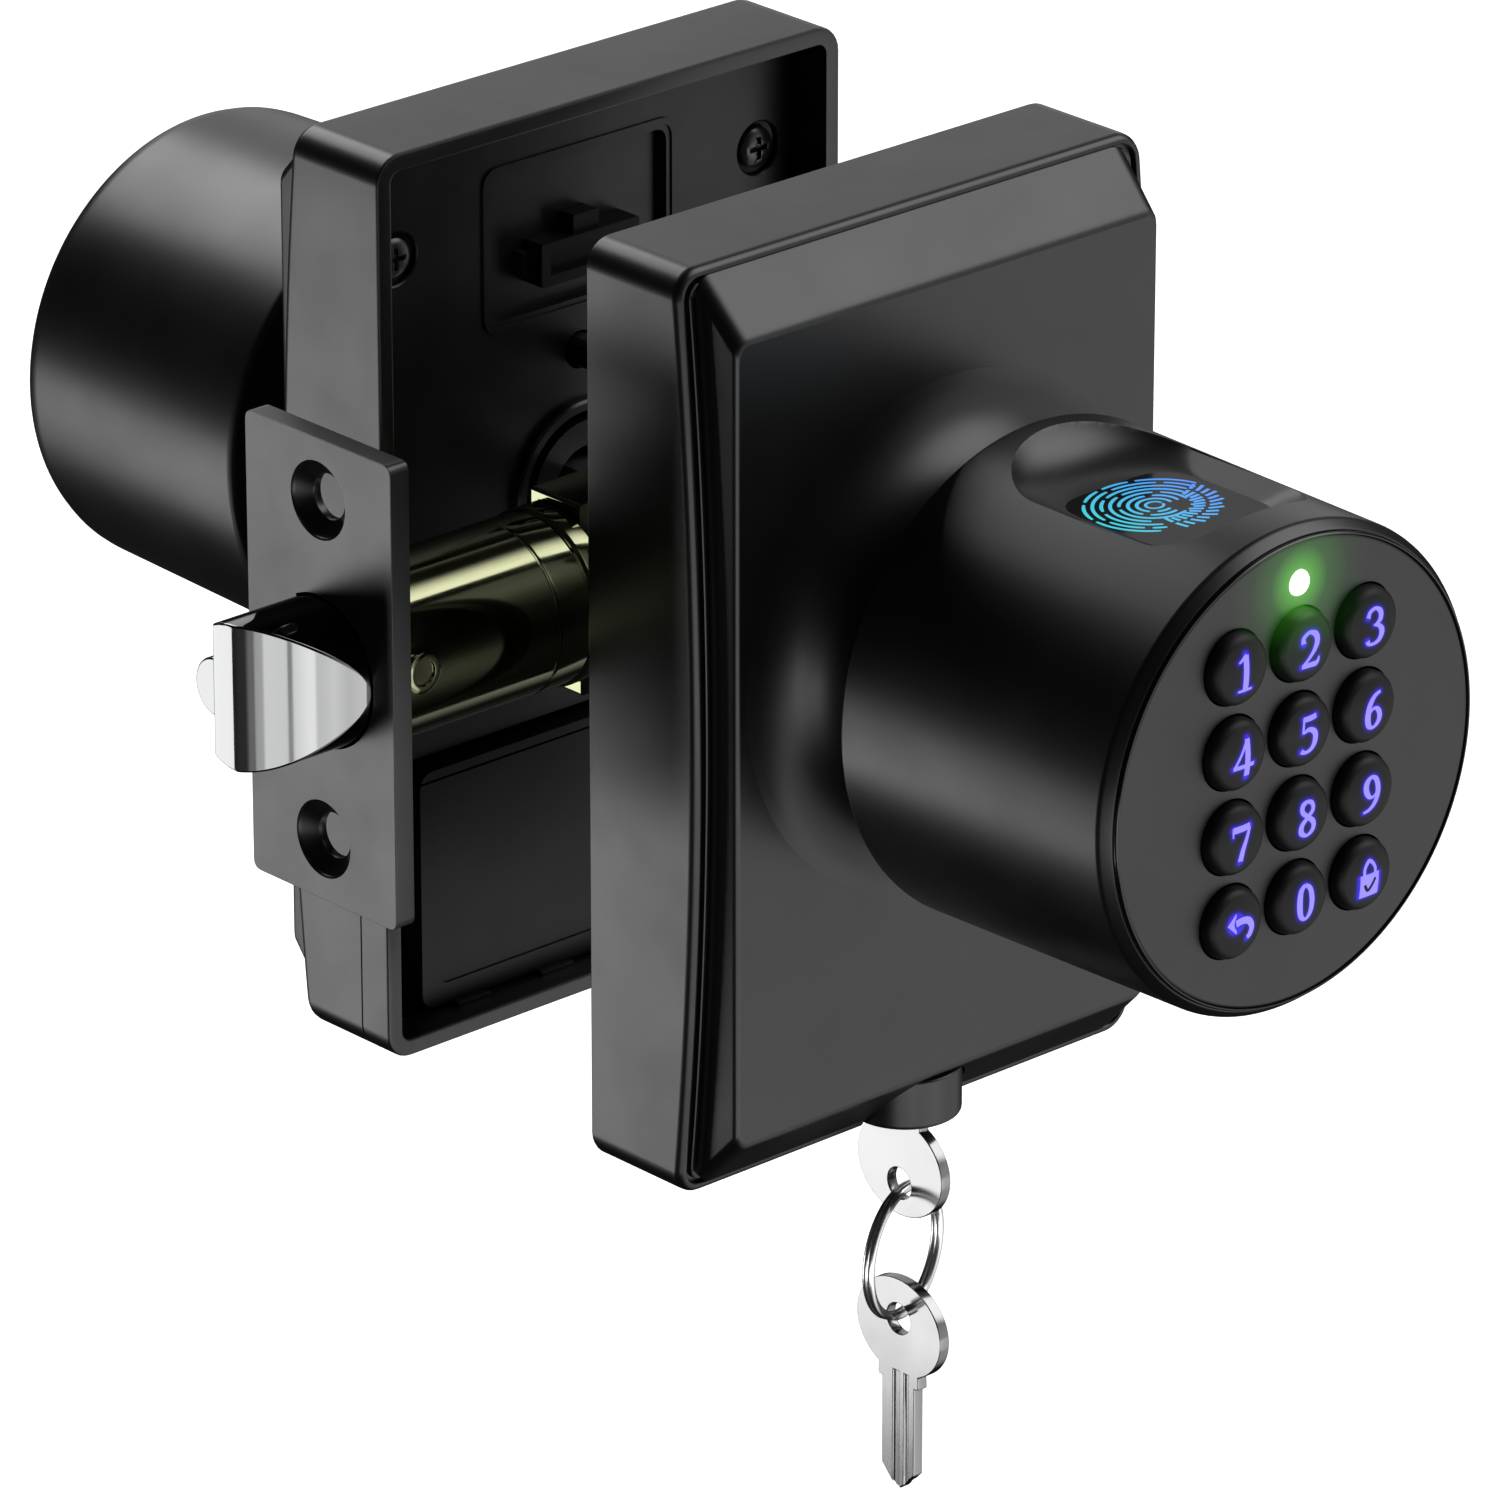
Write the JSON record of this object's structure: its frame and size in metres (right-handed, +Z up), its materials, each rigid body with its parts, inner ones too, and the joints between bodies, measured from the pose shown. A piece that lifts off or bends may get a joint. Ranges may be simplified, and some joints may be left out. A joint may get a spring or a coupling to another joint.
{
  "type": "keypad smart door lock",
  "caption": "Keypad knob lock for a door: exterior half with keypad knob and fingerprint pad, tubular latch, interior half with battery cover, key cylinder with keys on a split ring.",
  "frame": {"origin": "on the knob axis, in the plane where the exterior rose meets the door's exterior face", "axes": "+X from the door's edge into the door (the latch points to -X), +Y along the knob axis from the exterior side to the interior side, +Z up"},
  "size_m": [0.11, 0.1924, 0.1634],
  "materials": {
    "satin_black_metal": "satin black paint on cast metal",
    "satin_black_faceplate": "satin black plated steel",
    "keypad_black": "fine matt black plastic",
    "button_black": "smooth black translucent rubber",
    "black_rubber": "matt black rubber",
    "black_plastic": "moulded black plastic",
    "gloss_black": "glossy black sensor window",
    "led_green": "clear lens over a green light",
    "zinc_steel": "zinc-plated steel",
    "polished_steel": "polished nickel-plated keys",
    "chrome": "bright chrome",
    "olive_brass": "polished yellow passivated brass",
    "brass": "plain brass",
    "board_green": "solder-masked circuit board",
    "cell_sleeve": "shrink sleeve over a steel cell"
  },
  "bodies": {
    "lock_body": {"battery_box": "black_plastic", "battery_cell_lower": "cell_sleeve", "battery_cell_upper": "cell_sleeve", "bolt_spring": "zinc_steel", "cable_grommet": "black_rubber", "connector_socket": "black_plastic", "exterior_base": "satin_black_metal", "exterior_gasket": "black_rubber", "exterior_mounting_plate": "zinc_steel", "exterior_neck": "satin_black_metal", "exterior_panel": "satin_black_metal", "exterior_post_lower": "zinc_steel", "exterior_post_upper": "zinc_steel", "interior_base": "satin_black_metal", "interior_mounting_plate": "black_plastic", "interior_neck": "satin_black_metal", "interior_panel": "satin_black_metal", "key_cylinder_housing": "satin_black_metal", "latch_case": "olive_brass", "latch_faceplate": "satin_black_faceplate", "latch_tube": "olive_brass", "plate_screw_left": "zinc_steel", "plate_screw_right": "zinc_steel", "plunger_spring": "zinc_steel", "through_bolt_lower": "zinc_steel", "through_bolt_upper": "zinc_steel"},
    "exterior_knob": {"exterior_knob_stem": "zinc_steel", "exterior_knob_shell": "satin_black_metal", "keypad_plate": "keypad_black", "status_led": "led_green", "fingerprint_pad": "gloss_black", "knob_circuit_board": "board_green", "clutch_motor": "zinc_steel"},
    "interior_knob": {"interior_knob_stem": "zinc_steel", "interior_knob_shell": "satin_black_metal", "spindle": "zinc_steel", "latch_hub": "zinc_steel"},
    "latch_bolt": {"latch_bolt": "chrome"},
    "deadlatch_plunger": {"deadlatch_plunger": "chrome"},
    "key_plug": {"key_plug": "brass"},
    "key_in_lock": {"key_in_lock": "polished_steel"},
    "split_ring": {"split_ring": "chrome"},
    "spare_key": {"spare_key": "polished_steel"},
    "battery_cover": {"battery_cover": "satin_black_metal"},
    "button_1": {"button_1": "button_black"},
    "button_2": {"button_2": "button_black"},
    "button_3": {"button_3": "button_black"},
    "button_4": {"button_4": "button_black"},
    "button_5": {"button_5": "button_black"},
    "button_6": {"button_6": "button_black"},
    "button_7": {"button_7": "button_black"},
    "button_8": {"button_8": "button_black"},
    "button_9": {"button_9": "button_black"},
    "button_return": {"button_return": "button_black"},
    "button_0": {"button_0": "button_black"},
    "button_padlock": {"button_padlock": "button_black"}
  },
  "joints": [
    {"name": "exterior_knob_turn", "type": "hinge", "parent": "lock_body", "child": "exterior_knob", "pos_m": [0, 0, 0], "axis": [0, 1, 0], "range_deg": [-60, 60], "stiffness_Nm_per_rad": 0.05},
    {"name": "interior_knob_turn", "type": "hinge", "parent": "lock_body", "child": "interior_knob", "pos_m": [0, 0.036, 0], "axis": [0, 1, 0], "range_deg": [0, 60], "stiffness_Nm_per_rad": 0.08},
    {"name": "latch_bolt_slide", "type": "slide", "parent": "lock_body", "child": "latch_bolt", "axis": [1, 0, 0], "range_m": [0, 0.0127], "deforming": ["bolt_spring"]},
    {"name": "deadlatch_plunger_slide", "type": "slide", "parent": "lock_body", "child": "deadlatch_plunger", "axis": [1, 0, 0], "range_m": [0, 0.011], "stiffness_N_per_m": 60, "deforming": ["plunger_spring"]},
    {"name": "key_plug_turn", "type": "hinge", "parent": "lock_body", "child": "key_plug", "pos_m": [0, -0.0148, -0.05], "axis": [0, 0, 1], "range_deg": [-90, 90]},
    {"name": "key_slide", "type": "slide", "parent": "key_plug", "child": "key_in_lock", "axis": [0, 0, -1], "range_m": [0, 0.018]},
    {"name": "ring_swing", "type": "hinge", "parent": "key_in_lock", "child": "split_ring", "pos_m": [0, -0.0148, -0.0732], "axis": [0.9563, 0.2924, 0], "range_deg": [-45, 45]},
    {"name": "spare_key_swing", "type": "hinge", "parent": "split_ring", "child": "spare_key", "pos_m": [0, -0.0148, -0.0892], "axis": [0.9563, 0.2924, 0], "range_deg": [-45, 45]},
    {"name": "battery_cover_slide", "type": "slide", "parent": "lock_body", "child": "battery_cover", "axis": [0, 0, -1], "range_m": [0, 0.034]},
    {"name": "button_1_press", "type": "slide", "parent": "exterior_knob", "child": "button_1", "axis": [0, 1, 0], "range_m": [0, 0.001], "stiffness_N_per_m": 700},
    {"name": "button_2_press", "type": "slide", "parent": "exterior_knob", "child": "button_2", "axis": [0, 1, 0], "range_m": [0, 0.001], "stiffness_N_per_m": 700},
    {"name": "button_3_press", "type": "slide", "parent": "exterior_knob", "child": "button_3", "axis": [0, 1, 0], "range_m": [0, 0.001], "stiffness_N_per_m": 700},
    {"name": "button_4_press", "type": "slide", "parent": "exterior_knob", "child": "button_4", "axis": [0, 1, 0], "range_m": [0, 0.001], "stiffness_N_per_m": 700},
    {"name": "button_5_press", "type": "slide", "parent": "exterior_knob", "child": "button_5", "axis": [0, 1, 0], "range_m": [0, 0.001], "stiffness_N_per_m": 700},
    {"name": "button_6_press", "type": "slide", "parent": "exterior_knob", "child": "button_6", "axis": [0, 1, 0], "range_m": [0, 0.001], "stiffness_N_per_m": 700},
    {"name": "button_7_press", "type": "slide", "parent": "exterior_knob", "child": "button_7", "axis": [0, 1, 0], "range_m": [0, 0.001], "stiffness_N_per_m": 700},
    {"name": "button_8_press", "type": "slide", "parent": "exterior_knob", "child": "button_8", "axis": [0, 1, 0], "range_m": [0, 0.001], "stiffness_N_per_m": 700},
    {"name": "button_9_press", "type": "slide", "parent": "exterior_knob", "child": "button_9", "axis": [0, 1, 0], "range_m": [0, 0.001], "stiffness_N_per_m": 700},
    {"name": "button_return_press", "type": "slide", "parent": "exterior_knob", "child": "button_return", "axis": [0, 1, 0], "range_m": [0, 0.001], "stiffness_N_per_m": 700},
    {"name": "button_0_press", "type": "slide", "parent": "exterior_knob", "child": "button_0", "axis": [0, 1, 0], "range_m": [0, 0.001], "stiffness_N_per_m": 700},
    {"name": "button_padlock_press", "type": "slide", "parent": "exterior_knob", "child": "button_padlock", "axis": [0, 1, 0], "range_m": [0, 0.001], "stiffness_N_per_m": 700}
  ],
  "couplings": [
    {"joint": "latch_bolt_slide", "follows": "interior_knob_turn", "m_per_rad": 0.012126}
  ]
}
